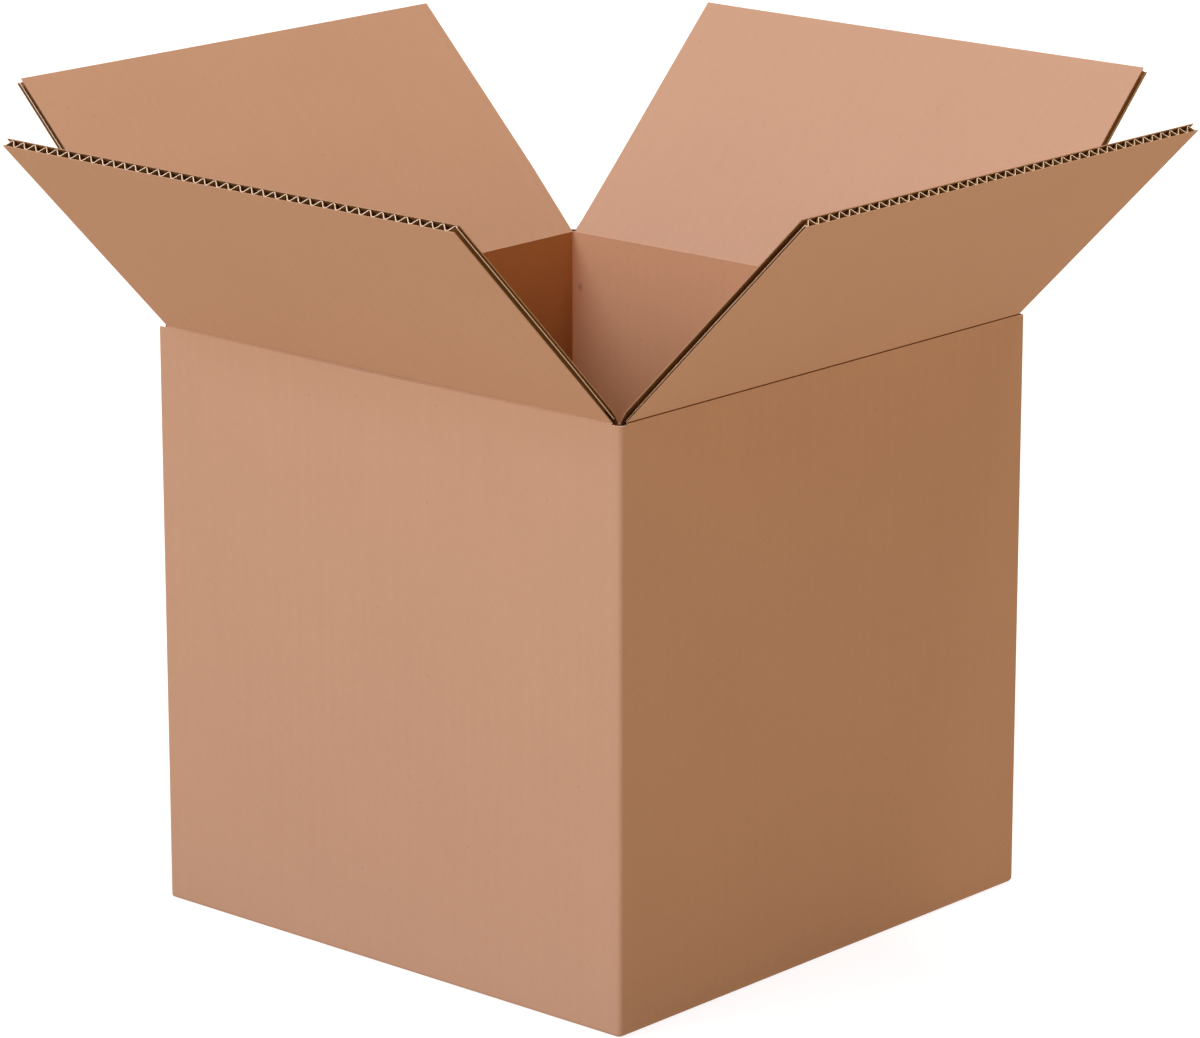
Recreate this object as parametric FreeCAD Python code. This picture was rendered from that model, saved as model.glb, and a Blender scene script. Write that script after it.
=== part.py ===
import FreeCAD, Part
import math
import os

from FreeCAD import Vector

# An open shipping box, folded from one sheet of corrugated board.
# Millimetres. The box stands on Z = 0, centred on X = 0 and Y = 0.
# The front wall faces -Y and the right wall faces +X.

# Folded box, over its outer faces
BODY_X = 313.2
BODY_Y = 314.6
CREASE_Z = 308.8

# Corrugated board: two flat liners with a fluted sheet between them
BOARD = 4.6
LINER = 0.45
FLUTE_SHEET = 0.5
FLUTE_PITCH = 7.6

# Half widths of a flute's hollow at its base, middle and crest, as shares of the room for it
BASE_SHARE = 0.7
MIDDLE_SHARE = 0.5
CREST_SHARE = 0.25

# Rounded folds
CORNER_ROUND = 3.8
BOTTOM_ROUND = 2.4

# Flaps: the gap left between the closed outer pair and between the closed inner pair,
# and the bare margin at each end
LID_GAP = 4.6
INNER_LID_GAP = 0.4
SIDE_MARGIN = 5.2

# How far each flap leans out from upright as the box stands open, in degrees
REST_LEAN = 44.6

# Creases, all at one height. The right and left flaps close over the front and back ones,
# so the front and back flaps turn about a line inside their wall's board
LAYER_CLEARANCE = 0.4
HINGE_OFFSET = 0.1
FOLDED_GAP = 1.0
CREASE_GAP = 0.15
SWING_CLEARANCE = 0.1
END_CLEARANCE = 0.3
SLOT_DROP = 1.0
CRUSHED_FOOT = 3.0

# Maker's joint inside the front left corner
TAB_WIDTH = 35.0
TAB_BOTTOM_GAP = 6.0
TAB_TOP_GAP = 22.0
TAB_TAPER = 9.0
SEAM_WIDTH = 0.4
SEAM_DEPTH = 1.6

# Tape under the bottom seam, pressed flush into the board
TAPE_WIDTH = 48.0
TAPE_THICKNESS = 0.15
TAPE_END_MARGIN = 20.0

# Edges within this height of the ground count as bottom edges
TOUCH = 0.01

# Lengths that follow from the sizes above
FLAP_DEPTH = (BODY_X - LID_GAP) / 2.0
BOTTOM_GAP = BODY_Y - 2.0 * FLAP_DEPTH
SLOT_Z = CREASE_Z - CREASE_GAP - SLOT_DROP
SPARE = 10.0

# Where the front and back flaps turn. Closed, they lie one layer lower than the outer pair.
# Leaning at rest, their outer faces start at the crease, as the outer pair's do.
LEAN_SIN = math.sin(math.radians(REST_LEAN))
LEAN_COS = math.cos(math.radians(REST_LEAN))
LAYER_DROP = BOARD + LAYER_CLEARANCE
FACE_OFFSET = (FOLDED_GAP * LEAN_COS + LAYER_DROP * LEAN_SIN) / (1.0 + LEAN_SIN + LEAN_COS)
HINGE_INSET = FACE_OFFSET - FOLDED_GAP
FOOT_RISE = HINGE_INSET * LEAN_SIN + (LAYER_DROP - FACE_OFFSET) * LEAN_COS
HINGE_Z = CREASE_Z - LAYER_DROP + FACE_OFFSET
CREASE_ROUND = math.hypot(FACE_OFFSET, FOOT_RISE) - SWING_CLEARANCE

# Hinge line: its depth behind the wall's outer face, its height, and from there
# the flap's outer face and foot as the flap stands upright
OUTER_HINGE = (-HINGE_OFFSET, CREASE_Z, HINGE_OFFSET, CREASE_GAP)
INNER_HINGE = (HINGE_INSET, HINGE_Z, FACE_OFFSET, FOOT_RISE)

# Flap lengths from foot to free edge
OUTER_REACH = FLAP_DEPTH - CREASE_GAP
INNER_REACH = (BODY_Y - INNER_LID_GAP) / 2.0 - HINGE_INSET - FOOT_RISE

# Wall name: quarter turns from the front, outer face's distance, panel length
WALLS = {
    "front": (0, BODY_Y / 2.0, BODY_X),
    "right": (1, BODY_X / 2.0, BODY_Y),
    "back": (2, BODY_Y / 2.0, BODY_X),
    "left": (3, BODY_X / 2.0, BODY_Y),
}
INNER_WALLS = ("front", "back")


def block(x_low, x_high, y_low, y_high, z_low, z_high):
    """Return a rectangular solid between two corners."""
    corner = Vector(x_low, y_low, z_low)
    return Part.makeBox(x_high - x_low, y_high - y_low, z_high - z_low, corner)


def prism(points, direction):
    """Return the solid swept by a flat outline along a straight line."""
    outline = Part.makePolygon(points + points[:1])
    return Part.Face(outline).extrude(direction)


def turned(shape, quarters):
    """Return a shape made for the front wall, turned onto another wall."""
    copy = shape.copy()
    copy.rotate(Vector(0, 0, 0), Vector(0, 0, 1), 90.0 * quarters)
    return copy


def outer_outline():
    """Return the box's outer outline: three rounded folds and one cut corner."""
    half_x = BODY_X / 2.0
    half_y = BODY_Y / 2.0
    radius = CORNER_ROUND
    edges = []
    start = Vector(-half_x, -half_y, 0)
    corners = [
        (Vector(half_x, -half_y, 0), Vector(-1, 0, 0), Vector(0, 1, 0)),
        (Vector(half_x, half_y, 0), Vector(0, -1, 0), Vector(-1, 0, 0)),
        (Vector(-half_x, half_y, 0), Vector(1, 0, 0), Vector(0, -1, 0)),
    ]
    for corner, back, onward in corners:
        first = corner + back * radius
        last = corner + onward * radius
        centre = first + onward * radius
        middle = centre + (corner - centre).normalize() * radius
        edges.append(Part.LineSegment(start, first).toShape())
        edges.append(Part.Arc(first, middle, last).toShape())
        start = last
    edges.append(Part.LineSegment(start, Vector(-half_x, -half_y, 0)).toShape())
    return Part.Wire(edges)


def wall_tube():
    """Return the four walls up to the slot floors, with rounded bottom folds."""
    solid = Part.Face(outer_outline()).extrude(Vector(0, 0, SLOT_Z))
    bottom_edges = [edge for edge in solid.Edges if edge.BoundBox.ZMax < TOUCH]
    solid = solid.makeFillet(BOTTOM_ROUND, bottom_edges)
    half_x = BODY_X / 2.0 - BOARD
    half_y = BODY_Y / 2.0 - BOARD
    return solid.cut(block(-half_x, half_x, -half_y, half_y, -SPARE, SLOT_Z + SPARE))


def crease_band(distance, panel):
    """Return a wall's strip between its slots, up to the crease."""
    half = panel / 2.0 - SIDE_MARGIN + END_CLEARANCE
    top = CREASE_Z - CREASE_GAP
    return block(-half, half, -distance, -distance + BOARD, SLOT_Z - SPARE, top)


def outer_bevel(distance, panel):
    """Return the wedge that an outer flap's crease takes from the wall's inner side."""
    half = panel / 2.0 - SIDE_MARGIN + END_CLEARANCE
    top = CREASE_Z - CREASE_GAP
    points = [
        Vector(-half, -distance, top),
        Vector(-half, -distance + BOARD, top - BOARD),
        Vector(-half, -distance + BOARD + SPARE, top - BOARD),
        Vector(-half, -distance + BOARD + SPARE, top + SPARE),
        Vector(-half, -distance, top + SPARE),
    ]
    return prism(points, Vector(2.0 * half, 0, 0))


def inner_bevel(distance, panel):
    """Return what an inner flap's crease takes, leaving the wall rounded about its hinge."""
    half = panel / 2.0 - SIDE_MARGIN + END_CLEARANCE
    slope_z = CREASE_Z - LAYER_DROP + HINGE_INSET + FOOT_RISE - CREASE_GAP
    run = BOARD + SPARE
    points = [
        Vector(-half, -distance - SPARE, slope_z + SPARE),
        Vector(-half, -distance + run, slope_z - run),
        Vector(-half, -distance + run, slope_z + SPARE),
    ]
    axis_start = Vector(-half, -distance + HINGE_INSET, HINGE_Z)
    kept = Part.makeCylinder(CREASE_ROUND, 2.0 * half, axis_start, Vector(1, 0, 0))
    return prism(points, Vector(2.0 * half, 0, 0)).cut(kept)


def bottom_flaps():
    """Return the four bottom flaps: the inner pair lies on the outer pair."""
    plates = []
    outer_half = BODY_Y / 2.0 - SIDE_MARGIN
    inner_half = BODY_X / 2.0 - SIDE_MARGIN
    outer_reach = BODY_X / 2.0 - BOARD
    inner_reach = BODY_Y / 2.0 - BOARD
    for side in (-1, 1):
        x_ends = sorted((side * LID_GAP / 2.0, side * outer_reach))
        plates.append(block(x_ends[0], x_ends[1], -outer_half, outer_half, 0, BOARD))
        y_ends = sorted((side * BOTTOM_GAP / 2.0, side * inner_reach))
        plates.append(block(-inner_half, inner_half, y_ends[0], y_ends[1], BOARD, 2.0 * BOARD))
    return plates


def glue_tab():
    """Return the tab folded from the left wall and glued inside the front wall."""
    x_fold = -BODY_X / 2.0 + BOARD
    y_wall = -BODY_Y / 2.0 + BOARD
    z_low = 2.0 * BOARD + TAB_BOTTOM_GAP
    z_high = CREASE_Z - TAB_TOP_GAP
    points = [
        Vector(x_fold, y_wall, z_low),
        Vector(x_fold + TAB_WIDTH, y_wall, z_low + TAB_TAPER),
        Vector(x_fold + TAB_WIDTH, y_wall, z_high - TAB_TAPER),
        Vector(x_fold, y_wall, z_high),
    ]
    return prism(points, Vector(0, BOARD, 0))


def joint_seam():
    """Return the seam between the front wall's cut end and the left wall's fold."""
    x_face = -BODY_X / 2.0
    y_seam = -BODY_Y / 2.0 + BOARD
    points = [
        Vector(x_face - SEAM_DEPTH, y_seam, -SPARE),
        Vector(x_face + SEAM_DEPTH, y_seam, -SPARE),
        Vector(x_face + SEAM_DEPTH, y_seam + SEAM_WIDTH, -SPARE),
        Vector(x_face, y_seam + SEAM_DEPTH, -SPARE),
        Vector(x_face - SEAM_DEPTH, y_seam + SEAM_DEPTH, -SPARE),
    ]
    return prism(points, Vector(0, 0, SLOT_Z + 2.0 * SPARE))


def tape_strip():
    """Return the tape that holds the outer bottom flaps together."""
    half_width = TAPE_WIDTH / 2.0
    half_length = BODY_Y / 2.0 - TAPE_END_MARGIN
    return block(-half_width, half_width, -half_length, half_length, 0, TAPE_THICKNESS)


def box_body():
    """Return the walls, bottom flaps and glue tab, folded from one sheet."""
    bands = []
    bevels = []
    for name, (quarters, distance, panel) in WALLS.items():
        bevel = inner_bevel if name in INNER_WALLS else outer_bevel
        bands.append(turned(crease_band(distance, panel), quarters))
        bevels.append(turned(bevel(distance, panel), quarters))
    body = wall_tube().fuse(bands + bottom_flaps() + [glue_tab()])
    body = body.cut(bevels + [joint_seam(), tape_strip()])
    return body.removeSplitter()


def flute_hollow(centre, base_y, top_y):
    """Return one flute's outline across the board, wide at a liner and narrow at its crest."""
    middle_y = (base_y + top_y) / 2.0
    slant = FLUTE_SHEET / math.sin(math.atan2(BOARD - 2.0 * LINER, FLUTE_PITCH / 2.0))
    room = FLUTE_PITCH / 2.0 - slant
    base_half = BASE_SHARE * room
    middle_half = MIDDLE_SHARE * room
    crest_half = CREST_SHARE * room
    return [
        Vector(centre - base_half, base_y, 0),
        Vector(centre - middle_half, middle_y, 0),
        Vector(centre - crest_half, top_y, 0),
        Vector(centre + crest_half, top_y, 0),
        Vector(centre + middle_half, middle_y, 0),
        Vector(centre + base_half, base_y, 0),
    ]


def flute_hollows(length, reach):
    """Return the flutes of one flap, from its crushed foot past its free edge."""
    outer_y = LINER
    inner_y = BOARD - LINER
    low = BOARD + CRUSHED_FOOT
    rise = Vector(0, 0, reach + SPARE - low)
    hollows = []
    count = int(length / FLUTE_PITCH / 2.0) + 1
    for step in range(-2 * count, 2 * count + 1):
        centre = step * FLUTE_PITCH / 2.0
        if abs(centre) > length / 2.0 + FLUTE_PITCH / 4.0:
            continue
        if step % 2:
            points = flute_hollow(centre, outer_y, inner_y - FLUTE_SHEET)
        else:
            points = flute_hollow(centre, inner_y, outer_y + FLUTE_SHEET)
        hollow = prism(points, rise)
        hollow.translate(Vector(0, 0, low))
        hollows.append(hollow)
    return hollows


def flap_board(length, reach):
    """Return an upright flap with its outer face on Y = 0 and its foot on Z = 0."""
    half = length / 2.0
    points = [
        Vector(-half, 0, 0),
        Vector(-half, 0, reach),
        Vector(-half, BOARD, reach),
        Vector(-half, BOARD, BOARD),
    ]
    board = prism(points, Vector(length, 0, 0))
    return board.cut(flute_hollows(length, reach))


def top_flap(wall, hinge, reach):
    """Return the top flap of one wall, leaning out at its resting angle."""
    quarters, distance, panel = WALLS[wall]
    inset, height, face_offset, foot_rise = hinge
    flap = flap_board(panel - 2.0 * SIDE_MARGIN, reach)
    flap.translate(Vector(0, face_offset, foot_rise))
    flap.rotate(Vector(0, 0, 0), Vector(1, 0, 0), REST_LEAN)
    flap.translate(Vector(0, inset - distance, height))
    return turned(flap, quarters)


def main():
    """Build every piece and write one file for each."""
    os.makedirs("parts", exist_ok=True)
    pieces = {
        "box_body": box_body(),
        "bottom_tape": tape_strip(),
        "front_flap": top_flap("front", INNER_HINGE, INNER_REACH),
        "right_flap": top_flap("right", OUTER_HINGE, OUTER_REACH),
        "back_flap": top_flap("back", INNER_HINGE, INNER_REACH),
        "left_flap": top_flap("left", OUTER_HINGE, OUTER_REACH),
    }
    for name, shape in pieces.items():
        shape.exportStep(os.path.join("parts", name + ".step"))
        print(name, len(shape.Solids), "solid,", round(shape.Volume / 1000.0, 1), "cubic cm")


main()
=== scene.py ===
import math

import bmesh
import bpy
import numpy as np
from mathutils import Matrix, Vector


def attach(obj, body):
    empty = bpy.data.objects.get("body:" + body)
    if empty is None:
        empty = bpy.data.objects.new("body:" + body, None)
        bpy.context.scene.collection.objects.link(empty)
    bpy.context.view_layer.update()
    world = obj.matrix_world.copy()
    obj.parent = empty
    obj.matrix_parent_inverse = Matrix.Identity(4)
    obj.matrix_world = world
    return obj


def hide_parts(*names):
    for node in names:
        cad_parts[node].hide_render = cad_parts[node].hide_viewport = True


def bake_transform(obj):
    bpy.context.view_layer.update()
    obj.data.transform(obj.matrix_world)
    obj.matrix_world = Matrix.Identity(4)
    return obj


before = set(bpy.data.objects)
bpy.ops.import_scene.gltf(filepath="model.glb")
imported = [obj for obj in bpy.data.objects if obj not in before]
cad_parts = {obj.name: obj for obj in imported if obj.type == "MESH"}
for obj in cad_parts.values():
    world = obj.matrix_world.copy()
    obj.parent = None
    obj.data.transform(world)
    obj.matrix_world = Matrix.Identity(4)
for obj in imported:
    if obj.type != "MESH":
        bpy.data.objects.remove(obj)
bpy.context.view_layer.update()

MM = 0.001

# The box as packed, in millimetres
HALF_X = 156.6
HALF_Y = 157.3
CREASE_Z = 308.8
BOARD = 4.6
LINER = 0.45
FLUTE_SHEET = 0.5
CORNER_ROUND = 2.6
CORNER_STEPS = 8
INNER_ROUND = 1.0
BOTTOM_ROUND = 2.4
BOTTOM_STEPS = 5
SIDE_MARGIN = 5.2
SLOT_MARGIN = 4.9
SLOT_Z = 307.65
EXTRA_STOP = 40.0
WALL_HEIGHTS = (60.0, 155.0, 260.0, 300.0)
LEAN = math.radians(44.6)
BOTTOM_LIFT = 0.2
BOTTOM_REACH = 154.3
HALF_BOTTOM_GAP = 2.3
TAB_WIDTH = 35.0
TAB_LOW = 15.2
TAB_HIGH = 286.8
TAB_TAPER = 9.0
BURIED = 0.5

# The fluted sheet: its wave, how far back its cut edges lie, and how its foot slants so that it
# clears the wall when the flap is shut. At the cut ends it runs down to the crease.
WAVE_HEIGHT = (BOARD - 2 * LINER - FLUTE_SHEET) / 2
FLUTE_SETBACK = 0.3
FREE_EDGE_SETBACK = 0.35
UNEVENNESS = 0.5
FLUTE_FOOT = 1.4
FOOT_SLANT = 0.95
CUT_END = 1.2
CUT_END_FOOT = -0.4
FULL_BOARD_REACH = 40.0
PITCHES = {"front": 7.82, "right": 7.35, "back": 7.6, "left": 7.5}
FIRST_SEED = 3

# Which end of each flap shows its cut, and how deep behind the outer face the sheet lies there
CUT_DEPTHS = {"front": (1, 2.95), "right": (-1, 1.6), "back": (1, 2.0), "left": (-1, 2.6)}

# How a crease strip rolls: its way across the fold, outward and up, and the outer strip's roll.
# The flap's own liners take over from the strips at these reaches.
OUTER_ROLL = 0.7
OUTER_STRIP_END = 2.4
INNER_STRIP_END = 7.0

# Camera in metres, degrees and millimetres of sensor
CAMERA_LENS = 161.131
CAMERA_SENSOR = 36.0
CAMERA_TURN = 41.693
CAMERA_TILT = 15.289
CAMERA_PLACE = (1.7841, -1.9988, 0.9346)

# Light from low down all round, full below one height of its way and gone above the other
WHITE = (1.0, 1.0, 1.0, 1.0)
LOW_LIGHT = (0.70, 0.515, 0.31, 1.0)
HIGH_LIGHT = (0.05, 0.02, 0.0, 1.0)
LOW_LIGHT_FULL = 0.36
LOW_LIGHT_GONE = 0.62
FLOOR_HALF = 6.0
FLOOR_Z = -0.0004
FLOOR_PAINT = (0.38, 0.335, 0.27, 1.0)
FLOOR_GLOW = (0.33, 0.315, 0.27, 1.0)
FLOOR_SEEN = (0.86, 0.86, 0.88, 1.0)

# Kinds of paper, in the order of a piece's materials. A crease strip's last paper is that of
# the wall that it leaves.
# The dark papers of the hollows and of a sunk score's groove are painted shade, as are the papers inside the
# bottom and the side walls; the pale paper is also a painted highlight on a swollen score.
OUTSIDE, INSIDE, EDGE, HOLLOW_SHADE, SCORE_GROOVE_SHADE, PALE_EDGE_AND_HIGHLIGHT, SHADED_BOTTOM, SIDE_WALL_SHADE = range(8)
WALL_BELOW = 6

# Hinge line: depth behind the wall's face, height, then the flap's face and foot from it
OUTER_HINGE = (-0.1, 308.8, 0.1, 0.15)
INNER_HINGE = (0.749, 305.549, 1.749, 2.841)

# Wall tops under the creases, from the outer face inwards: depth behind the face, height
OUTER_TOP = [(0, SLOT_Z), (0.6, SLOT_Z), (1.1, 307.5), (2.5, 306.1), (3.7, 304.9), (4.6, 304.0)]
INNER_TOP = [(0, SLOT_Z), (0.6, SLOT_Z), (3.15, SLOT_Z), (3.9, 305.9), (3.44, 303.8), (4.6, 302.6)]
SLOT_TOP = [(0, SLOT_Z), (0.7, 307.75), (0.85, 306.6), (4.0, 306.6), (4.1, SLOT_Z), (4.6, SLOT_Z)]


class Wall:
    """One wall's place: positions along it, behind its outer face and up, in millimetres."""

    def __init__(self, name, along, outward, face, half, hinge, reach, top, sheet_start):
        self.name = name
        self.along = np.array([*along, 0.0])
        self.outward = np.array([*outward, 0.0])
        self.face = face
        self.half = half
        self.reach = reach
        self.top = top
        self.sheet_start = sheet_start
        inset, height, face_offset, foot_rise = hinge
        self.flap_up = np.array([0, 0, math.cos(LEAN)]) + self.outward * math.sin(LEAN)
        self.flap_face = self.outward * math.cos(LEAN) - np.array([0, 0, math.sin(LEAN)])
        axis = self.outward * (face - inset) + np.array([0, 0, height])
        self.foot = axis - self.flap_face * face_offset + self.flap_up * foot_rise

    def at(self, along, depth, up):
        return self.along * along + self.outward * (self.face - depth) + np.array([0, 0, up])

    def on_flap(self, along, depth, reach):
        return self.foot + self.along * along - self.flap_face * depth + self.flap_up * reach


WALLS = [
    Wall("front", (1, 0), (0, -1), HALF_Y, HALF_X, INNER_HINGE, 153.51, INNER_TOP, 156.6),
    Wall("right", (0, 1), (1, 0), HALF_X, HALF_Y, OUTER_HINGE, 154.15, OUTER_TOP, 470.5),
    Wall("back", (-1, 0), (0, 1), HALF_Y, HALF_X, INNER_HINGE, 153.51, INNER_TOP, 784.4),
    Wall("left", (0, -1), (-1, 0), HALF_X, HALF_Y, OUTER_HINGE, 154.15, OUTER_TOP, 1098.3),
]

# Where the inner liner and the cut edges lie on the sheet's coordinates, the spot of painted shade on it
# (on the back wall's inside near its left corner), and the spacing of the rows that the flutes press into
# the paper
INSIDE_SHIFT = 3000.0
EDGE_SHIFT = 6000.0
SLOT_SHADE_SPOT = (INSIDE_SHIFT + 784.4 + 147.4, 277.0)
SLOT_SHADE_SQUASH = 0.7
ROW_PITCH = 7.6


def new_group(name, inputs, outputs):
    """An empty shader group with its named sockets."""
    group = bpy.data.node_groups.new(name, "ShaderNodeTree")
    for label, kind, value in inputs:
        socket = group.interface.new_socket(label, in_out="INPUT", socket_type=kind)
        if value is not None:
            socket.default_value = value
    for label, kind in outputs:
        group.interface.new_socket(label, in_out="OUTPUT", socket_type=kind)
    return group, group.nodes.new("NodeGroupInput"), group.nodes.new("NodeGroupOutput")


class Sketch:
    """Short ways to add and join the nodes of one tree."""

    def __init__(self, tree):
        self.tree = tree

    def node(self, kind, **settings):
        made = self.tree.nodes.new(kind)
        for key, value in settings.items():
            setattr(made, key, value)
        return made

    def feed(self, socket, value):
        if isinstance(value, bpy.types.NodeSocket):
            self.tree.links.new(value, socket)
        elif value is not None:
            socket.default_value = value

    def math(self, operation, a, b=None, c=None):
        made = self.node("ShaderNodeMath", operation=operation)
        for socket, value in zip(made.inputs, (a, b, c)):
            self.feed(socket, value)
        return made.outputs[0]

    def noise(self, place, detail=2.0, rough=0.5):
        made = self.node("ShaderNodeTexNoise")
        self.feed(made.inputs["Vector"], place)
        made.inputs["Scale"].default_value = 1.0
        made.inputs["Detail"].default_value = detail
        made.inputs["Roughness"].default_value = rough
        return self.math("SUBTRACT", made.outputs["Fac"], 0.5)

    def stretch(self, place, x, y):
        made = self.node("ShaderNodeMapping")
        self.feed(made.inputs["Vector"], place)
        made.inputs["Scale"].default_value = (x, y, 1.0)
        return made.outputs["Vector"]

    def between(self, value, low, high, out_low=0.0, out_high=1.0):
        made = self.node("ShaderNodeMapRange", interpolation_type="SMOOTHSTEP")
        for label, number in (("Value", value), ("From Min", low), ("From Max", high),
                              ("To Min", out_low), ("To Max", out_high)):
            self.feed(made.inputs[label], number)
        return made.outputs["Result"]

    def mix(self, share, a, b):
        made = self.node("ShaderNodeMix", data_type="RGBA")
        self.feed(made.inputs[0], share)
        self.feed(made.inputs[6], a)
        self.feed(made.inputs[7], b)
        return made.outputs[2]

    def scale(self, vector, amount):
        made = self.node("ShaderNodeVectorMath", operation="SCALE")
        self.feed(made.inputs[0], vector)
        self.feed(made.inputs["Scale"], amount)
        return made.outputs[0]


def kraft_group():
    """Kraft paper: fibres, soft mottling, streaks, specks and the rows that the flutes press in."""
    group, given, out = new_group(
        "kraft paper",
        [("Place", "NodeSocketVector", None), ("Paper", "NodeSocketColor", None),
         ("Fibre", "NodeSocketFloat", 1.0), ("Flute rows", "NodeSocketFloat", 1.0)],
        [("Colour", "NodeSocketColor"), ("Height", "NodeSocketFloat")],
    )
    s = Sketch(group)
    place = given.outputs["Place"]
    cloud = s.noise(s.stretch(place, 14, 20), 3.0)
    mottle = s.noise(s.stretch(place, 260, 150), 4.0, 0.62)
    fibre = s.noise(s.stretch(place, 900, 420), 3.0, 0.6)
    streak = s.noise(s.stretch(place, 190, 9), 2.0)
    spots = s.node("ShaderNodeTexVoronoi", feature="F1")
    s.feed(spots.inputs["Vector"], s.stretch(place, 150, 150))
    spots.inputs["Scale"].default_value = 1.0
    part = s.node("ShaderNodeSeparateColor")
    s.feed(part.inputs[0], spots.outputs["Color"])
    rare = s.math("GREATER_THAN", part.outputs[0], 0.88)
    speck = s.math("MULTIPLY", s.between(spots.outputs["Distance"], 0.05, 0.12, 1.0, 0.0), rare)
    across = s.node("ShaderNodeSeparateXYZ")
    s.feed(across.inputs[0], place)
    turn = s.math("MULTIPLY", across.outputs["X"], 2 * math.pi / (ROW_PITCH * MM))
    rows = s.math("MULTIPLY", s.math("SINE", turn), given.outputs["Flute rows"])
    grain = s.math("ADD", s.math("MULTIPLY", mottle, 0.06), s.math("MULTIPLY", fibre, 0.06))
    grain = s.math("ADD", grain, s.math("MULTIPLY", streak, 0.03))
    tone = s.math("MULTIPLY_ADD", grain, given.outputs["Fibre"], 1.0)
    tone = s.math("MULTIPLY_ADD", cloud, 0.05, tone)
    tone = s.math("MULTIPLY_ADD", rows, 0.003, tone)
    plain = s.scale(given.outputs["Paper"], tone)
    s.feed(out.inputs["Colour"], s.mix(s.math("MULTIPLY", speck, 0.5), plain, s.scale(plain, 0.72)))
    height = s.math("ADD", s.math("MULTIPLY", mottle, 0.03), s.math("MULTIPLY", fibre, 0.02))
    s.feed(out.inputs["Height"], s.math("MULTIPLY_ADD", rows, 0.012, height))
    return group


def inner_paper_with_painted_shade(s, place, paper, deep):
    """The body's inner liner with painted shade: darker towards the bottom, and one grey spot of painted
    shade on the back wall near its left corner.
    """
    parts = s.node("ShaderNodeSeparateXYZ")
    s.feed(parts.inputs[0], place)
    # Painted shade: the paper darkens towards the bottom.
    tone = s.mix(s.between(parts.outputs["Y"], 0.14, 0.31), (*deep, 1.0), (*paper, 1.0))
    # A grey spot of painted shade on the back wall's inside near its left corner.
    off = s.node("ShaderNodeVectorMath", operation="DISTANCE")
    s.feed(off.inputs[0], s.stretch(place, 1.0, SLOT_SHADE_SQUASH))
    off.inputs[1].default_value = (SLOT_SHADE_SPOT[0] * MM, SLOT_SHADE_SPOT[1] * SLOT_SHADE_SQUASH * MM, 0.0)
    spot = s.between(off.outputs["Value"], 0.0005, 0.0025, 0.45, 0.0)
    return s.mix(spot, tone, (0.26, 0.17, 0.11, 1.0))


def paper_material(name, group, paper, fibre=1.0, rows=1.0, roughness=0.82, on_sheet=True, deep=None):
    """One kind of paper of this box, on the sheet's own coordinates."""
    material = bpy.data.materials.new(name)
    material.use_nodes = True
    tree = material.node_tree
    s = Sketch(tree)
    shader = tree.nodes["Principled BSDF"]
    if on_sheet:
        place = s.node("ShaderNodeUVMap", uv_map="sheet").outputs["UV"]
    else:
        place = s.node("ShaderNodeTexCoord").outputs["Object"]
    kraft = s.node("ShaderNodeGroup", node_tree=group)
    s.feed(kraft.inputs["Place"], place)
    s.feed(kraft.inputs["Paper"], inner_paper_with_painted_shade(s, place, paper, deep) if deep else (*paper, 1.0))
    kraft.inputs["Fibre"].default_value = fibre
    kraft.inputs["Flute rows"].default_value = rows
    bump = s.node("ShaderNodeBump")
    bump.inputs["Distance"].default_value = 1.0 * MM
    bump.inputs["Strength"].default_value = 0.5
    s.feed(bump.inputs["Height"], kraft.outputs["Height"])
    s.feed(shader.inputs["Base Color"], kraft.outputs["Colour"])
    s.feed(shader.inputs["Normal"], bump.outputs["Normal"])
    shader.inputs["Roughness"].default_value = roughness
    shader.inputs["Specular IOR Level"].default_value = 0.12
    return material


def make_piece(name, points, faces, places, kinds, materials):
    """A mesh in metres from millimetre points, with each corner's place on the sheet."""
    mesh = bpy.data.meshes.new(name)
    mesh.from_pydata([tuple(float(c) * MM for c in p) for p in points], [], faces)
    layer = mesh.uv_layers.new(name="sheet")
    corner = 0
    for spots in places:
        for spot in spots:
            layer.data[corner].uv = (spot[0] * MM, spot[1] * MM)
            corner += 1
    for material in materials:
        mesh.materials.append(material)
    for face, kind in zip(mesh.polygons, kinds):
        face.material_index = kind
        face.use_smooth = True
    work = bmesh.new()
    work.from_mesh(mesh)
    bmesh.ops.remove_doubles(work, verts=work.verts, dist=1e-6)
    bmesh.ops.dissolve_degenerate(work, edges=work.edges, dist=1e-7)
    bmesh.ops.recalc_face_normals(work, faces=work.faces)
    work.to_mesh(mesh)
    work.free()
    mesh.set_sharp_from_angle(angle=math.radians(28))
    made = bpy.data.objects.new(name, mesh)
    bpy.context.scene.collection.objects.link(made)
    return made


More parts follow.
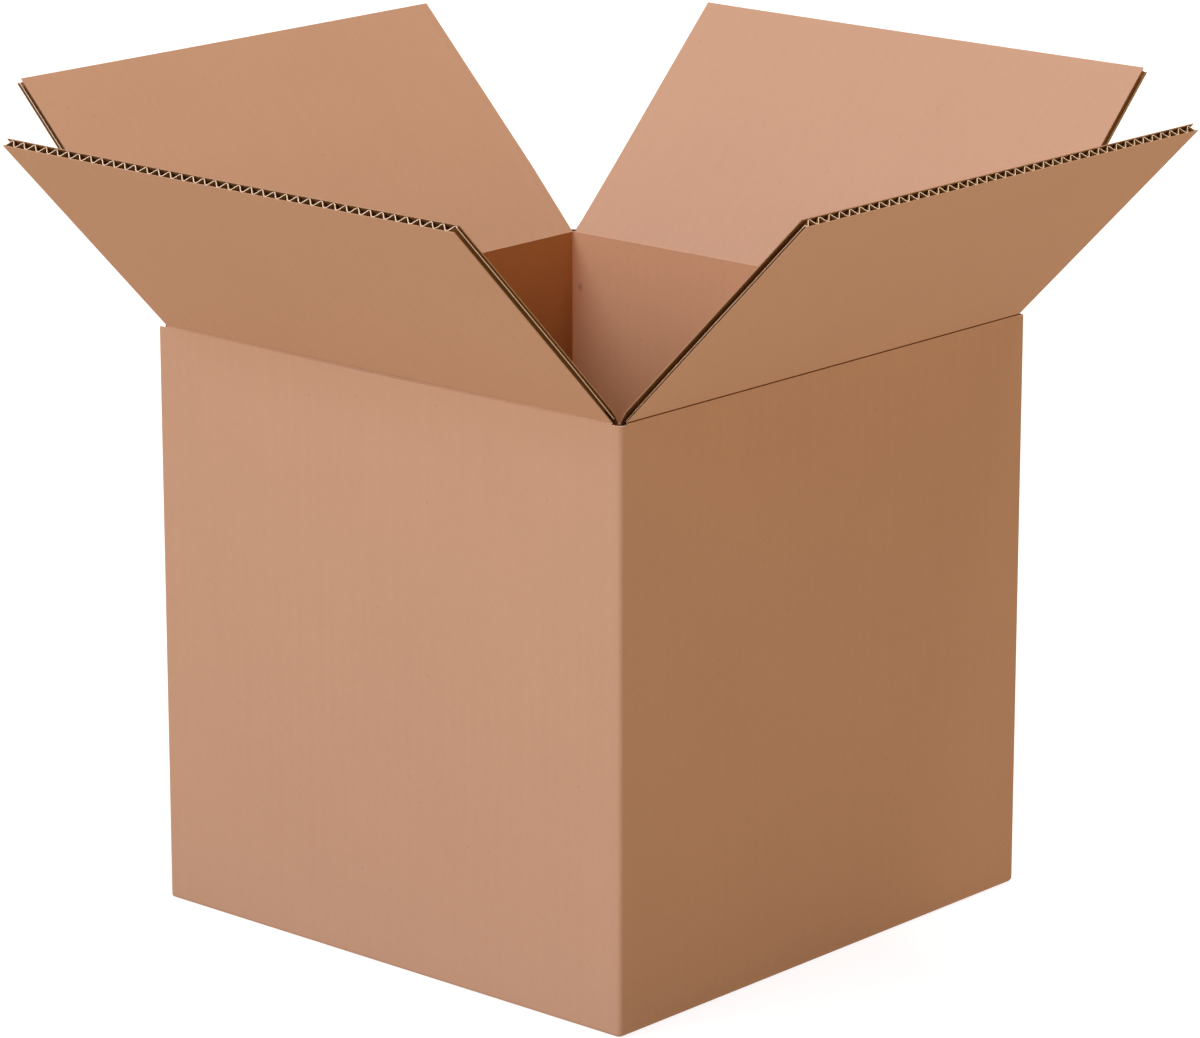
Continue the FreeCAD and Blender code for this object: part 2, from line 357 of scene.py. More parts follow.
class Draft:
    """Collects the points and faces of one piece."""

    def __init__(self):
        self.points, self.faces, self.places, self.kinds = [], [], [], []

    def add(self, face, place, kind):
        self.faces.append(face)
        self.places.append(place)
        self.kinds.append(kind)

    def finish(self, name, materials):
        return make_piece(name, self.points, self.faces, self.places, self.kinds, materials)

    def sweep(self, columns, kind_of, place_of):
        """Joins columns of section points and closes both ends; all columns have as many points."""
        start = len(self.points)
        rows = len(columns[0])
        for column in columns:
            self.points.extend(column)
        for c in range(len(columns) - 1):
            for r in range(rows):
                n = (r + 1) % rows
                a, b = start + c * rows + r, start + c * rows + n
                d, e = a + rows, b + rows
                self.add((a, d, e, b), place_of(c, r), kind_of(c, r))
        for c in (0, len(columns) - 1):
            ring = tuple(start + c * rows + r for r in range(rows))
            spots = [(EDGE_SHIFT + r * 1.7, c * 3.1 + r) for r in range(rows)]
            self.add(ring, spots, EDGE)

    def block(self, low, high, kind, top_kind, place_shift):
        """A rectangular solid in millimetres; its sides show the board's edge."""
        start = len(self.points)
        for z in (low[2], high[2]):
            for x, y in ((low[0], low[1]), (high[0], low[1]), (high[0], high[1]), (low[0], high[1])):
                self.points.append((x, y, z))
        u, v = place_shift

        def spot(i):
            return u + self.points[start + i][0], v + self.points[start + i][1]
        self.add((start + 3, start + 2, start + 1, start), [spot(i) for i in (3, 2, 1, 0)], kind)
        self.add((start + 4, start + 5, start + 6, start + 7), [spot(i) for i in (4, 5, 6, 7)], top_kind)
        for i in range(4):
            n = (i + 1) % 4
            ring = (start + i, start + n, start + 4 + n, start + 4 + i)
            run = math.dist(self.points[start + i], self.points[start + n])
            spots = [(EDGE_SHIFT, 0), (EDGE_SHIFT + run, 0), (EDGE_SHIFT + run, BOARD), (EDGE_SHIFT, BOARD)]
            self.add(ring, spots, EDGE)


def wall_columns():
    """Plan columns round the box: outer point, inner point, place on the sheet and wall top."""
    columns = []

    def put(outer, inner, sheet, top):
        columns.append((np.array(outer, float), np.array(inner, float), sheet, top))

    for index, wall in enumerate(WALLS):
        a, o = wall.along[:2], wall.outward[:2]
        half, face = wall.half, wall.face
        start = -half if index == 0 else -half + CORNER_ROUND

        def at(along, depth):
            return a * along + o * (face - depth)
        stops = [start, -half + SLOT_MARGIN, -half + SLOT_MARGIN, -half + EXTRA_STOP, 0, half - EXTRA_STOP,
                 half - SLOT_MARGIN, half - SLOT_MARGIN, half - CORNER_ROUND]
        tops = [SLOT_TOP, SLOT_TOP, wall.top, wall.top, wall.top, wall.top, wall.top, SLOT_TOP, SLOT_TOP]
        if index == 3:
            stops[-2:] = [half - BOARD - CORNER_ROUND, half - BOARD - CORNER_ROUND]
            stops[6] = stops[7] = half - SLOT_MARGIN - BOARD
        for stop, top in zip(stops, tops):
            inner_stop = min(max(stop, -half + BOARD + INNER_ROUND), half - BOARD - INNER_ROUND)
            if index == 0 and stop == start:
                inner_stop = -half
            put(at(stop, 0), at(inner_stop, BOARD), wall.sheet_start + stop, top)
        corner_along = half - (BOARD if index == 3 else 0)
        outer_centre = at(corner_along - CORNER_ROUND, CORNER_ROUND)
        inner_centre = at(corner_along - BOARD - INNER_ROUND, BOARD + INNER_ROUND)
        for step in range(1, CORNER_STEPS):
            angle = math.pi / 2 * step / CORNER_STEPS
            way = o * math.cos(angle) + a * math.sin(angle)
            sheet = wall.sheet_start + half - CORNER_ROUND + 2 * CORNER_ROUND * step / CORNER_STEPS
            put(outer_centre + way * CORNER_ROUND, inner_centre + way * INNER_ROUND, sheet, SLOT_TOP)
        if index == 3:
            put(outer_centre + a * CORNER_ROUND, inner_centre + a * INNER_ROUND,
                wall.sheet_start + half + CORNER_ROUND, SLOT_TOP)
    return columns


def section_column(outer, inner, top):
    """The wall's section at one plan column: up the outer face, over the top, down the inner face."""
    points = []
    centre_pull = (inner - outer) / BOARD
    for step in range(BOTTOM_STEPS + 1):
        angle = math.pi / 2 * step / BOTTOM_STEPS
        depth = BOTTOM_ROUND * (1 - math.sin(angle))
        z = BOTTOM_ROUND * (1 - math.cos(angle))
        points.append((*(outer + centre_pull * depth), z))
    for z in (12.0, *WALL_HEIGHTS):
        points.append((*outer, z))
    for depth, z in top:
        points.append((*(outer + centre_pull * depth), z))
    for z in (*WALL_HEIGHTS[::-1], 9.0, BOTTOM_LIFT):
        points.append((*inner, z))
    return points


def add_glue_tab(draft):
    """The tab behind the front wall's left end, with its tapered ends."""
    y0, y1 = -HALF_Y + BOARD, -HALF_Y + 2 * BOARD
    x0, x1 = -HALF_X + CORNER_ROUND, -HALF_X + BOARD + TAB_WIDTH
    low, high = TAB_LOW + TAB_TAPER, TAB_HIGH - TAB_TAPER
    tab = [[(x0, y0, TAB_LOW), (x0, y1, TAB_LOW), (x0, y1, TAB_HIGH), (x0, y0, TAB_HIGH)],
           [(x1, y0, low), (x1, y1, low), (x1, y1, high), (x1, y0, high)]]
    shift = INSIDE_SHIFT + 1300

    def place_of(c, r):
        n = (r + 1) % 4
        return [(shift + tab[k][i][0], tab[k][i][2]) for k, i in ((c, r), (c + 1, r), (c + 1, n), (c, n))]
    draft.sweep(tab, lambda c, r: INSIDE if r == 1 else EDGE, place_of)


def add_bottom_flaps(draft):
    """The outer pair of bottom flaps, and the inner pair that lies on it."""
    for side in (-1, 1):
        xs = sorted((side * HALF_BOTTOM_GAP, side * (HALF_X - BOARD + BURIED)))
        # Their faces inside the box take the bottom's darker paper, painted shade.
        draft.block((xs[0], -HALF_Y + SIDE_MARGIN, BOTTOM_LIFT), (xs[1], HALF_Y - SIDE_MARGIN, BOARD),
                    OUTSIDE, SHADED_BOTTOM, (5200 * side, 900))
        ys = sorted((side * (HALF_Y - BOTTOM_REACH), side * (HALF_Y - BOARD + BURIED)))
        draft.block((-HALF_X + SIDE_MARGIN, ys[0], BOARD), (HALF_X - SIDE_MARGIN, ys[1], 2 * BOARD),
                    SHADED_BOTTOM, SHADED_BOTTOM, (4200 * side, 2900))


def make_carton(materials):
    """The walls, bottom flaps and glue tab as one folded sheet."""
    draft = Draft()
    plan = wall_columns()
    columns = [section_column(outer, inner, top) for outer, inner, _, top in plan]
    rows = len(columns[0])
    last_outer, last_top = 11, 16
    columns_a_wall = 16

    def kind_of(c, r):
        if r < last_outer:
            return OUTSIDE
        # Across the wall top: paler paper on the liners' edges, with painted shade paper in the hollows
        # between them.
        if r < last_top:
            return HOLLOW_SHADE if last_outer < r < last_top - 1 else PALE_EDGE_AND_HIGHLIGHT
        # The side walls' inner faces take their darker paper, painted shade.
        return SIDE_WALL_SHADE if c // columns_a_wall in (1, 3) else INSIDE

    def place_of(c, r):
        n = (r + 1) % rows
        u0, u1 = plan[c][2], plan[c + 1][2]
        spots = []
        for u, column, row in ((u0, c, r), (u1, c + 1, r), (u1, c + 1, n), (u0, c, n)):
            z = columns[column][row][2]
            if kind_of(c, r) == OUTSIDE:
                spots.append((u, z))
            elif kind_of(c, r) not in (INSIDE, SIDE_WALL_SHADE):
                spots.append((EDGE_SHIFT + u, (row - last_outer) * BOARD / 5))
            else:
                spots.append((INSIDE_SHIFT + u, z))
        return spots
    draft.sweep(columns, kind_of, place_of)
    add_glue_tab(draft)
    add_bottom_flaps(draft)
    return draft.finish("folded_carton", materials)


def flute_tree():
    """Geometry nodes that make one flap's fluted sheet from its sizes."""
    tree = bpy.data.node_groups.new("fluted sheet", "GeometryNodeTree")
    for label, kind, value in (
        ("Length", "NodeSocketFloat", 0.3), ("Reach", "NodeSocketFloat", 0.15),
        ("Pitch", "NodeSocketFloat", 0.0076), ("Wave height", "NodeSocketFloat", 0.0016),
        ("Sheet", "NodeSocketFloat", 0.0005), ("Start", "NodeSocketFloat", 0.0),
        ("Unevenness", "NodeSocketFloat", 0.0006), ("Seed", "NodeSocketFloat", 1.0),
        ("Cut paper", "NodeSocketMaterial", None), ("Hollow shade paper", "NodeSocketMaterial", None),
    ):
        socket = tree.interface.new_socket(label, in_out="INPUT", socket_type=kind)
        if value is not None:
            socket.default_value = value
    tree.interface.new_socket("Geometry", in_out="OUTPUT", socket_type="NodeSocketGeometry")
    s = Sketch(tree)
    given, out = tree.nodes.new("NodeGroupInput"), tree.nodes.new("NodeGroupOutput")
    value = given.outputs
    count = s.math("MULTIPLY", s.math("DIVIDE", value["Length"], value["Pitch"]), 16.0)
    grid = s.node("GeometryNodeMeshGrid")
    s.feed(grid.inputs["Size X"], value["Length"])
    s.feed(grid.inputs["Size Y"], value["Reach"])
    s.feed(grid.inputs["Vertices X"], count)
    grid.inputs["Vertices Y"].default_value = 3
    place = s.node("GeometryNodeInputPosition")
    parts = s.node("ShaderNodeSeparateXYZ")
    s.feed(parts.inputs[0], place.outputs[0])
    wander = s.node("ShaderNodeTexNoise", noise_dimensions="2D")
    spot = s.node("ShaderNodeCombineXYZ")
    s.feed(spot.inputs["X"], s.math("MULTIPLY", parts.outputs["X"], 45.0))
    s.feed(spot.inputs["Y"], value["Seed"])
    s.feed(wander.inputs["Vector"], spot.outputs[0])
    wander.inputs["Scale"].default_value = 1.0
    most = s.math("MULTIPLY", value["Unevenness"], 4.0)
    shift = s.math("MULTIPLY", s.math("SUBTRACT", wander.outputs[0], 0.5), most)
    turn = s.math("DIVIDE", s.math("ADD", parts.outputs["X"], shift), value["Pitch"])
    angle = s.math("ADD", s.math("MULTIPLY", turn, 2 * math.pi), value["Start"])
    rise = s.math("MULTIPLY", s.math("SINE", angle), value["Wave height"])
    offset = s.node("ShaderNodeCombineXYZ")
    s.feed(offset.inputs["Z"], rise)
    wave = s.node("GeometryNodeSetPosition")
    s.feed(wave.inputs["Geometry"], grid.outputs["Mesh"])
    s.feed(wave.inputs["Offset"], offset.outputs[0])
    thick = s.node("GeometryNodeExtrudeMesh")
    thick.inputs["Individual"].default_value = False
    s.feed(thick.inputs["Mesh"], wave.outputs["Geometry"])
    s.feed(thick.inputs["Offset Scale"], value["Sheet"])
    marked = s.node("GeometryNodeStoreNamedAttribute", data_type="BOOLEAN", domain="FACE")
    s.feed(marked.inputs["Geometry"], thick.outputs["Mesh"])
    marked.inputs["Name"].default_value = "cut"
    s.feed(marked.inputs["Value"], thick.outputs["Side"])
    back = s.node("GeometryNodeFlipFaces")
    s.feed(back.inputs["Mesh"], wave.outputs["Geometry"])
    both = s.node("GeometryNodeJoinGeometry")
    s.feed(both.inputs[0], marked.outputs["Geometry"])
    s.feed(both.inputs[0], back.outputs["Mesh"])
    merged = s.node("GeometryNodeMergeByDistance")
    s.feed(merged.inputs["Geometry"], both.outputs[0])
    merged.inputs["Distance"].default_value = 1e-6
    real = s.node("GeometryNodeRealizeInstances")
    s.feed(real.inputs["Geometry"], merged.outputs["Geometry"])
    # The fluted sheet's faces take the painted shade paper.
    dark = s.node("GeometryNodeSetMaterial")
    s.feed(dark.inputs["Geometry"], real.outputs["Geometry"])
    s.feed(dark.inputs["Material"], value["Hollow shade paper"])
    cut = s.node("GeometryNodeInputNamedAttribute", data_type="BOOLEAN")
    cut.inputs["Name"].default_value = "cut"
    # Its cut sides take the paler cut paper, brightened further as painted light.
    pale = s.node("GeometryNodeSetMaterial")
    s.feed(pale.inputs["Geometry"], dark.outputs["Geometry"])
    s.feed(pale.inputs["Selection"], cut.outputs["Attribute"])
    s.feed(pale.inputs["Material"], value["Cut paper"])
    s.feed(out.inputs["Geometry"], pale.outputs["Geometry"])
    return tree


def make_flutes(tree, wall, seed, cut, hollow_shade):
    """The fluted sheet of one flap, as a plain mesh in its place."""
    length = 2 * (wall.half - SIDE_MARGIN - FLUTE_SETBACK)
    pitch = PITCHES[wall.name]
    high = wall.reach - FREE_EDGE_SETBACK
    seed_mesh = bpy.data.meshes.new("flute_seed")
    maker = bpy.data.objects.new("flute_maker", seed_mesh)
    bpy.context.scene.collection.objects.link(maker)
    modifier = maker.modifiers.new("flutes", "NODES")
    modifier.node_group = tree
    sockets = {item.name: item.identifier for item in tree.interface.items_tree if item.in_out == "INPUT"}
    for label, value in (
        ("Length", length * MM), ("Reach", wall.reach * MM), ("Pitch", pitch * MM),
        ("Wave height", WAVE_HEIGHT * MM), ("Sheet", FLUTE_SHEET * MM), ("Start", flute_start(wall)),
        ("Unevenness", UNEVENNESS * MM), ("Seed", float(seed)), ("Cut paper", cut), ("Hollow shade paper", hollow_shade),
    ):
        modifier[sockets[label]] = value
    maker.data.update()
    bpy.context.view_layer.update()
    evaluated = maker.evaluated_get(bpy.context.evaluated_depsgraph_get())
    mesh = bpy.data.meshes.new_from_object(evaluated)
    bpy.data.objects.remove(maker)
    mesh.name = wall.name + "_flap_flutes"
    local = np.array([v.co for v in mesh.vertices]) / MM
    spots = {}
    for vertex, (x, y, z) in zip(mesh.vertices, local):
        share = (BOARD / 2 - (z - FLUTE_SHEET / 2) - LINER) / (BOARD - 2 * LINER)
        if abs(x) > wall.half - SIDE_MARGIN - CUT_END:
            foot = CUT_END_FOOT
        else:
            foot = FLUTE_FOOT + SAG[wall.name][1] + FOOT_SLANT * (LINER + share * (BOARD - 2 * LINER))
        reach = np.interp(y / wall.reach + 0.5, (0, 0.5, 1), (foot, FULL_BOARD_REACH, high))
        depth = LINER + share * (inner_face(wall, reach) - 2 * LINER)
        spots[vertex.index] = (x, reach)
        vertex.co = Vector(bend(wall, x, depth, reach)) * MM
    layer = mesh.uv_layers.new(name="sheet")
    for loop in mesh.loops:
        u, v = spots[loop.vertex_index]
        layer.data[loop.index].uv = ((u + wall.sheet_start) * MM, (v + 900) * MM)
    for face in mesh.polygons:
        face.use_smooth = True
    mesh.set_sharp_from_angle(angle=math.radians(50))
    made = bpy.data.objects.new(mesh.name, mesh)
    bpy.context.scene.collection.objects.link(made)
    return made


# How far each flap's free edge and crease sag at the middle, in millimetres
SAG = {"front": (1.0, 1.1), "right": (0.0, 0.0), "back": (0.3, 0.0), "left": (0.2, 0.0)}


# Uneven cuts at the rear corner's slot: the flap's end, then how much shorter it is at its
# foot, a quarter of the way up and at its free edge
UNEVEN_CUTS = {"back": (1, (0.8, 3.1, 2.8)), "left": (-1, (0.0, 0.6, -0.2))}


def bend(wall, along, depth, reach):
    """A point of the flap at rest, with the flap's slight sag and uneven cut."""
    edge_sag, foot_sag = SAG[wall.name]
    arch = 1.0 - (along / wall.half) ** 2
    share = min(max(reach / wall.reach, 0.0), 1.0)
    drop = (foot_sag * (1 - share) + edge_sag * share) * arch
    end, cuts = UNEVEN_CUTS.get(wall.name, (1, (0.0, 0.0, 0.0)))
    shorter = float(np.interp(share, (0.0, 0.26, 1.0), cuts))
    nearness = 0.5 + 0.5 * end * along / (wall.half - SIDE_MARGIN)
    return wall.on_flap(along - end * shorter * nearness, depth, reach - drop)


# Where the inner liner folds at each crease: its height, the reach over which the pinched
# board grows to full thickness, and how far below and above the fold the paper rolls
INNER_FOLDS = {"front": (308.6, 2.5, 5.2, 3.4), "right": (308.6, 2.5, 3.2, 8.0),
               "back": (307.5, 40.0, 4.3, 4.3), "left": (307.5, 40.0, 3.5, 8.5)}


def fold_on_flap(wall):
    """The inner fold in the flap's own measures: reach and depth."""
    drop = INNER_FOLDS[wall.name][0] - CREASE_Z
    return drop * math.cos(LEAN) - BOARD * math.sin(LEAN), BOARD * math.cos(LEAN) + drop * math.sin(LEAN)


def inner_face(wall, reach):
    """How deep the flap's inner face lies at a reach: the score pinches the board."""
    fold_reach, fold_depth = fold_on_flap(wall)
    return float(np.interp(reach, (fold_reach, INNER_FOLDS[wall.name][1]), (fold_depth, BOARD)))


def make_flap(wall, materials):
    """The two liners of a flap."""
    draft = Draft()
    half = wall.half - SIDE_MARGIN
    alongs = np.linspace(-half, half, 25)
    start = OUTER_STRIP_END + SAG[wall.name][1]
    outer_slab = [(0, start), (0, 8), (0, 50), (0, 100), (0, wall.reach), (LINER, wall.reach), (LINER, 100),
                  (LINER, 50), (LINER, 8), (LINER, start)]
    rises = (INNER_STRIP_END, 15.0, FULL_BOARD_REACH, 100.0, wall.reach)
    inner_slab = [(inner_face(wall, r) - LINER, r) for r in rises]
    inner_slab += [(inner_face(wall, r), r) for r in rises[::-1]]
    for slab in (outer_slab, inner_slab):
        columns = [[bend(wall, x, depth, reach) for depth, reach in slab] for x in alongs]

        def kind_of(c, r, outside=slab is outer_slab):
            if r in (4, 9):
                return EDGE
            # The liners' backs face the hollows and take the painted shade paper.
            if outside:
                return OUTSIDE if r < 4 else HOLLOW_SHADE
            return HOLLOW_SHADE if r < 4 else INSIDE

        def place_of(c, r, slab=slab):
            n = (r + 1) % len(slab)
            shift = 0 if kind_of(c, r) == OUTSIDE else INSIDE_SHIFT
            return [(shift + wall.sheet_start + alongs[k], CREASE_Z + slab[i][1] + slab[i][0])
                    for k, i in ((c, r), (c + 1, r), (c + 1, n), (c, n))]
        draft.sweep(columns, kind_of, place_of)
    return draft.finish(wall.name + "_flap_board", materials)


# The score line outside: how far it swells (or sinks, below nought), in millimetres, and where
# it lies on the wall and on the flap
SCORE = {"front": 0.28, "right": -0.45, "back": 0.1, "left": -0.2}
DEEP_SCORE = -0.3
RAISED_SCORE = 0.2
SLIGHT_SINK = -0.05
SWELL_Z = 308.45
SWELL_WIDTH = 0.3
SCORE_FACE_Z = 308.62
SCORE_BACK_Z = 308.7
SCORE_REACH = 0.25


def skin(points_at, alongs, kinds, wall, shift, name, materials):
    """A thin strip of liner along a crease, from its face points and its back points."""
    draft = Draft()
    columns = [points_at(x) for x in alongs]
    rows = len(columns[0])

    def place_of(c, r):
        n = (r + 1) % rows
        return [(shift + wall.sheet_start + alongs[k], CREASE_Z + i * 0.45)
                for k, i in ((c, r), (c + 1, r), (c + 1, n), (c, n))]
    draft.sweep(columns, lambda c, r: kinds[r], place_of)
    return draft.finish(name, materials)


def make_outer_crease(wall, materials):
    """The outer liner at one crease, with its score line."""
    half = wall.half - SIDE_MARGIN
    alongs = np.linspace(-half, half, 31)
    score = SCORE[wall.name]
    _, foot_sag = SAG[wall.name]
    sink = score if score < 0 else SLIGHT_SINK
    heights = (SLOT_Z, 307.85, 308.05, 308.2, 308.32, 308.42)
    reaches = (0.42, 0.55, 0.7, 0.95, 1.6, OUTER_STRIP_END + foot_sag)

    def points_at(along):
        sag = foot_sag * (1.0 - (along / wall.half) ** 2)
        face, back = [], []
        for z in heights:
            swell = score * (math.exp(-((z - SWELL_Z) / SWELL_WIDTH) ** 2) if score > 0 else 0.0)
            drop = sag * (z - SLOT_Z) / (CREASE_Z - SLOT_Z)
            face.append(wall.at(along, -swell, z - drop))
            back.append(wall.at(along, LINER, z - drop))
        face.append(wall.at(along, -sink, SCORE_FACE_Z - sag))
        face.append(bend(wall, along, -sink, SCORE_REACH))
        back.append(wall.at(along, LINER - sink, SCORE_BACK_Z - sag))
        back.append(bend(wall, along, LINER - sink, SCORE_REACH))
        for reach in reaches:
            face.append(bend(wall, along, 0.0, reach))
            back.append(bend(wall, along, LINER, reach))
        return face + back[::-1]
    count = len(heights) + 2 + len(reaches)
    # The strip's back faces the hollows and takes the painted shade paper.
    kinds = [OUTSIDE] * (count - 1) + [EDGE] + [HOLLOW_SHADE] * (count - 1) + [EDGE]
    line = len(heights) - 1
    # A sunk score gets a dark line of painted shade in its groove.
    if score < DEEP_SCORE:
        kinds[line:line + 3] = [SCORE_GROOVE_SHADE] * 3
    # A swollen score gets a painted highlight on its bead.
    if score > RAISED_SCORE:
        kinds[line - 2:line + 1] = [PALE_EDGE_AND_HIGHLIGHT] * 3
    return skin(points_at, alongs, kinds, wall, 0, wall.name + "_crease_outer_liner", materials)


def make_inner_crease(wall, materials):
    """The inner liner at one crease, folded over the pinched board."""
    half = wall.half - SIDE_MARGIN
    alongs = np.linspace(-half, half, 31)
    _, foot_sag = SAG[wall.name]
    wall_z = wall.top[-1][1]
    fold_z = INNER_FOLDS[wall.name][0]
    heights = np.linspace(wall_z, fold_z - 0.35, 12)
    fold_reach = fold_on_flap(wall)[0]
    reaches = [fold_reach + step for step in (0.5, 1.1, 1.8, 2.6)]
    reaches += list(np.linspace(fold_reach + 3.6, INNER_STRIP_END, 6))

    def points_at(along):
        sag = foot_sag * (1.0 - (along / wall.half) ** 2)
        face, back = [], []
        for z in heights:
            drop = sag * max(0.0, (z - wall_z) / (fold_z - wall_z))
            face.append(wall.at(along, BOARD, z - drop))
            back.append(wall.at(along, BOARD - LINER, z - drop))
        face.append(wall.at(along, BOARD + 0.05, fold_z + 0.05 - sag))
        back.append(wall.at(along, BOARD - LINER, fold_z + 0.1 - sag))
        for reach in reaches:
            depth = inner_face(wall, reach)
            face.append(bend(wall, along, depth, reach))
            back.append(bend(wall, along, depth - LINER, reach))
        return face + back[::-1]
    count = len(heights) + 1 + len(reaches)
    # The strip's back faces the hollows and takes the painted shade paper.
    kinds = [WALL_BELOW] * len(heights) + [INSIDE] * len(reaches) + [EDGE] + [HOLLOW_SHADE] * (count - 1) + [EDGE]
    return skin(points_at, alongs, kinds, wall, INSIDE_SHIFT, wall.name + "_crease_inner_liner", materials)


def make_camera():
    """The camera, as fitted to the photo's corners."""
    data = bpy.data.cameras.new("camera")
    data.lens = CAMERA_LENS
    data.sensor_width = CAMERA_SENSOR
    data.clip_start, data.clip_end = 0.1, 50.0
    camera = bpy.data.objects.new("camera", data)
    bpy.context.scene.collection.objects.link(camera)
    turn, tilt = math.radians(CAMERA_TURN), math.radians(CAMERA_TILT)
    sight = Vector((-math.sin(turn) * math.cos(tilt), math.cos(turn) * math.cos(tilt), -math.sin(tilt)))
    camera.location = Vector(CAMERA_PLACE)
    camera.rotation_mode = "QUATERNION"
    camera.rotation_quaternion = sight.to_track_quat("-Z", "Y")
    bpy.context.scene.camera = camera


def make_surroundings():
    """Plain white to the eye, with warm light that comes from low down all round."""
    world = bpy.data.worlds.new("studio")
    bpy.context.scene.world = world
    world.use_nodes = True
    world.node_tree.nodes.clear()
    s = Sketch(world.node_tree)
    path = s.node("ShaderNodeLightPath")
    mirrored = s.math("MAXIMUM", path.outputs["Is Glossy Ray"], path.outputs["Is Transmission Ray"])
    seen = s.math("MAXIMUM", path.outputs["Is Camera Ray"], mirrored)
    way = s.node("ShaderNodeTexCoord")
    height = s.node("ShaderNodeSeparateXYZ")
    s.feed(height.inputs[0], way.outputs["Generated"])
    light = s.mix(s.between(height.outputs["Z"], LOW_LIGHT_FULL, LOW_LIGHT_GONE), LOW_LIGHT, HIGH_LIGHT)
    around = s.node("ShaderNodeBackground")
    s.feed(around.inputs["Color"], s.mix(seen, light, WHITE))
    done = s.node("ShaderNodeOutputWorld")
    s.feed(done.inputs["Surface"], around.outputs[0])


def add_sun(name, way, share, softness):
    """A soft light far away; share is the part of a white sheet's brightness that it gives."""
    data = bpy.data.lights.new(name, "SUN")
    peak = max(share)
    data.energy = math.pi * peak
    data.color = tuple(c / peak for c in share)
    data.angle = math.radians(softness)
    lamp = bpy.data.objects.new(name, data)
    lamp.rotation_mode = "QUATERNION"
    lamp.rotation_quaternion = (-Vector(way)).to_track_quat("-Z", "Y")
    bpy.context.scene.collection.objects.link(lamp)


def make_floor():
    """A white table that glows a little; the eye sees it white, with the box's soft shadow."""
    mesh = bpy.data.meshes.new("floor")
    corners = [(x * FLOOR_HALF, y * FLOOR_HALF, FLOOR_Z) for x, y in ((-1, -1), (1, -1), (1, 1), (-1, 1))]
    mesh.from_pydata(corners, [], [(0, 1, 2, 3)])
    floor = bpy.data.objects.new("floor", mesh)
    bpy.context.scene.collection.objects.link(floor)
    paint = bpy.data.materials.new("white_floor")
    paint.use_nodes = True
    paint.node_tree.nodes.clear()
    mesh.materials.append(paint)
    s = Sketch(paint.node_tree)
    path = s.node("ShaderNodeLightPath")
    matt = s.node("ShaderNodeBsdfDiffuse")
    matt.inputs["Color"].default_value = FLOOR_PAINT
    glow = s.node("ShaderNodeEmission")
    s.feed(glow.inputs["Color"], s.mix(path.outputs["Is Camera Ray"], FLOOR_GLOW, FLOOR_SEEN))
    both = s.node("ShaderNodeAddShader")
    s.feed(both.inputs[0], matt.outputs[0])
    s.feed(both.inputs[1], glow.outputs[0])
    done = s.node("ShaderNodeOutputMaterial")
    s.feed(done.inputs["Surface"], both.outputs[0])


def flute_start(wall):
    """The wave's turn at which the sheet has the depth seen at the flap's cut end."""
    end, depth = CUT_DEPTHS[wall.name]
    lift = (BOARD / 2 - depth) / WAVE_HEIGHT
    half_length = wall.half - SIDE_MARGIN - FLUTE_SETBACK
    return math.asin(lift) - end * 2 * math.pi * half_length / PITCHES[wall.name]


def blend_strip(strip, wall, fold, below, above):
    """Bakes the strip's placement into its mesh."""
    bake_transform(strip)


scene = bpy.context.scene
scene.view_settings.view_transform = "Standard"
make_camera()
make_surroundings()
add_sun("key_light", (-0.10, -0.80, 0.59), (0.42, 0.50, 0.635), 36.0)
add_sun("top_light", (0.0, 0.22, 0.975), (0.65, 0.64, 0.58), 16.0)
make_floor()

# Papers. Several are lighter and darker copies of the one kraft: painted light and painted shade, noted at
# each.
kraft = kraft_group()
outside_paper = paper_material("outside_paper", kraft, (0.60, 0.345, 0.225))
inside_paper = paper_material("inside_paper", kraft, (0.60, 0.345, 0.225))
edge_paper = paper_material("cut_edge_paper", kraft, (0.50, 0.28, 0.165), 1.6, 0.0)
# Painted shade: dark paper for the board's hollows, the liners' backs and the fluted sheet's faces.
hollow_shade_paper = paper_material("shaded_flute_paper", kraft, (0.30, 0.14, 0.05), 1.0, 0.0)
# The fluted sheet's cut ends: paler paper, brightened further as painted light.
pale_flute_cut_and_light_paper = paper_material("cut_flute_paper_with_painted_light", kraft, (0.92, 0.70, 0.50), 1.4, 0.0)
# Painted shade: a dark line in a sunk score's groove.
score_groove_shade_paper = paper_material("score_groove_painted_shade_paper", kraft, (0.26, 0.105, 0.03), 1.0, 0.0)
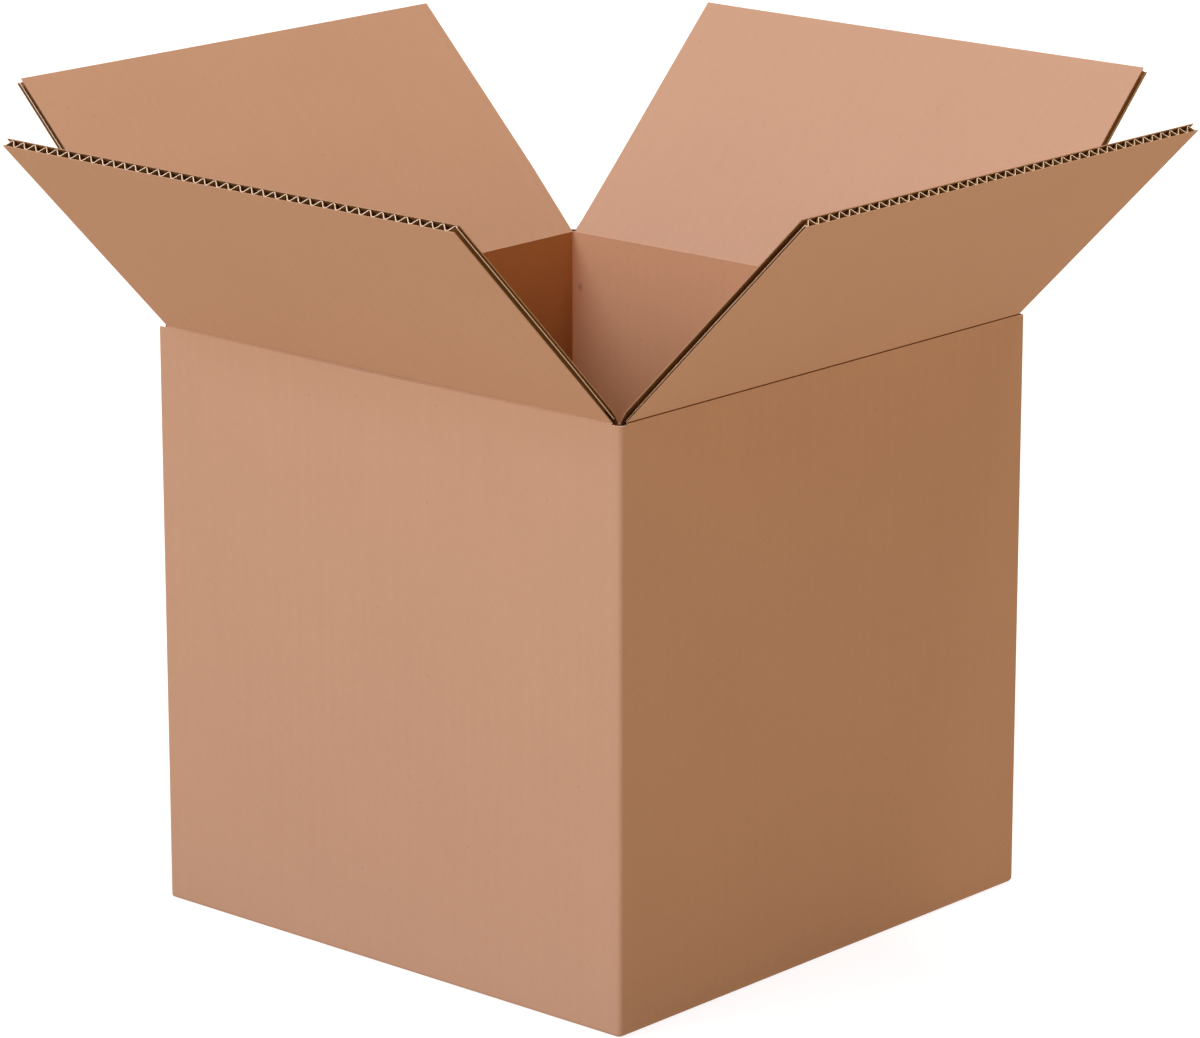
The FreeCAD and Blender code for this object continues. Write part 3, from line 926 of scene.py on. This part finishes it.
# Paler paper for the liners' edges at the wall tops, and a painted highlight on a swollen score's bead.
pale_edge_and_highlight_paper = paper_material("pale_edge_and_painted_highlight_paper", kraft, (0.70, 0.44, 0.31), 1.0, 0.0)
# Inside the front and back walls: a brighter, redder copy of the paper as painted light, darker towards the
# bottom as painted shade.
inner_wall_light_and_shade_paper = paper_material("inside_wall_paper", kraft, (0.80, 0.42, 0.225), deep=(0.48, 0.205, 0.075))
# Inside the side walls: a darker copy of the paper as painted shade, darker still towards the bottom.
side_wall_shade_paper = paper_material("inside_side_wall_painted_shade_paper", kraft, (0.62, 0.28, 0.11), deep=(0.15, 0.045, 0.008))
# Inside the bottom: a darker copy of the paper as painted shade.
bottom_shade_paper = paper_material("inside_bottom_painted_shade_paper", kraft, (0.44, 0.22, 0.11))
tape_film = paper_material("tape_film", kraft, (0.42, 0.24, 0.12), 0.3, 0.0, 0.3, on_sheet=False)
flap_papers = [outside_paper, inside_paper, edge_paper, hollow_shade_paper, score_groove_shade_paper, pale_edge_and_highlight_paper]

carton = make_carton([outside_paper, inner_wall_light_and_shade_paper, edge_paper, hollow_shade_paper, score_groove_shade_paper, pale_edge_and_highlight_paper,
                      bottom_shade_paper, side_wall_shade_paper])
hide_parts("box_body")
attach(carton, "carton")

flutes = flute_tree()
for number, wall in enumerate(WALLS):
    flap = wall.name + "_flap"
    board = make_flap(wall, flap_papers)
    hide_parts(flap)
    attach(board, flap)
    wavy = make_flutes(flutes, wall, number + FIRST_SEED, pale_flute_cut_and_light_paper, hollow_shade_paper)
    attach(wavy, flap)
    crease = make_outer_crease(wall, flap_papers)
    blend_strip(crease, wall, wall.at(0, 0, CREASE_Z), OUTER_ROLL, OUTER_ROLL)
    fold_z, _, below, above = INNER_FOLDS[wall.name]
    # Below the inner fold the strips take the walls' papers, with their painted light and painted shade.
    wall_paper = side_wall_shade_paper if wall.name in ("left", "right") else inner_wall_light_and_shade_paper
    crease = make_inner_crease(wall, flap_papers + [wall_paper])
    blend_strip(crease, wall, wall.at(0, BOARD, fold_z), below, above)

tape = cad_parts["bottom_tape"]
tape.data.materials.clear()
tape.data.materials.append(tape_film)
